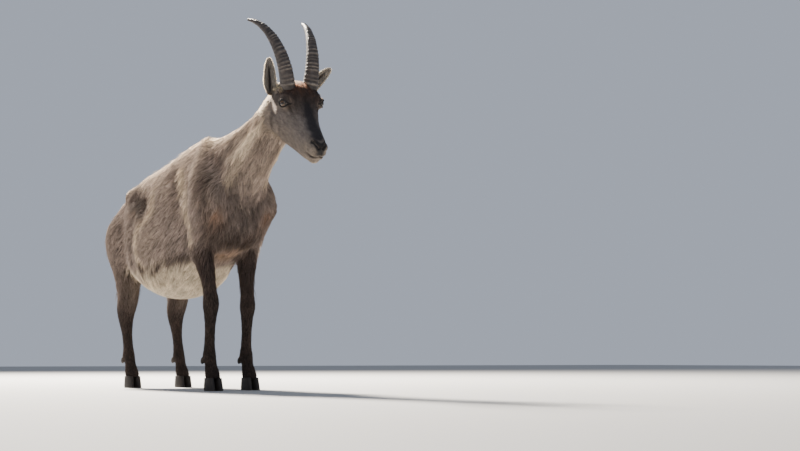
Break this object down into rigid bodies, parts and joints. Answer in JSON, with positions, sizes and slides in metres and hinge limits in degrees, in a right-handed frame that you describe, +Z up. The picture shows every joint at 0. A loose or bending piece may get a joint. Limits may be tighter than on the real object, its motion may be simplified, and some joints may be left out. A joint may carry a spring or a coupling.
{
  "type": "alpine ibex",
  "caption": "Life-size adult nanny ibex with slim ridged back-curved horns, standing four-square with her neck stretched forward and her head turned slightly to her left.",
  "frame": {"origin": "on the floor under the middle of the bounding box", "axes": "+Z up, the ibex faces -Y and her left side is +X; the floor is z = 0"},
  "size_m": [0.304, 1.289, 1.0384],
  "materials": {
    "coat_body": "short dense fur, grey-beige with pale tips, matte",
    "coat_face": "very short fur, grey-brown, darker along the nose, matte",
    "coat_ear": "short fur, grey-brown outside and pale inside, matte",
    "coat_legs_upper": "short fur, grey-brown shading to dark brown, matte",
    "coat_dark": "short fur, dark chocolate brown, matte",
    "horn": "dull grey-brown horn with cross ridges, worn pale on their crests",
    "hoof": "dull dark hoof horn",
    "eye": "wet gloss, amber iris with a dark level pupil"
  },
  "bodies": {
    "root": {"torso": "coat_body", "neck": "coat_body", "head": "coat_face", "tail": "coat_dark", "foreleg_upper_left": "coat_legs_upper", "foreleg_lower_left": "coat_dark", "hindleg_upper_left": "coat_body", "hindleg_lower_left": "coat_dark", "ear_left": "coat_ear", "eye_left": "eye", "horn_left": "horn", "hoof_fore_left_outer": "hoof", "dewclaw_fore_left_outer": "hoof", "hoof_fore_left_inner": "hoof", "dewclaw_fore_left_inner": "hoof", "hoof_hind_left_outer": "hoof", "dewclaw_hind_left_outer": "hoof", "hoof_hind_left_inner": "hoof", "dewclaw_hind_left_inner": "hoof", "foreleg_upper_right": "coat_legs_upper", "foreleg_lower_right": "coat_dark", "hindleg_upper_right": "coat_body", "hindleg_lower_right": "coat_dark", "ear_right": "coat_ear", "eye_right": "eye", "horn_right": "horn", "hoof_fore_right_outer": "hoof", "dewclaw_fore_right_outer": "hoof", "hoof_fore_right_inner": "hoof", "dewclaw_fore_right_inner": "hoof", "hoof_hind_right_outer": "hoof", "dewclaw_hind_right_outer": "hoof", "hoof_hind_right_inner": "hoof", "dewclaw_hind_right_inner": "hoof"}
  },
  "joints": []
}
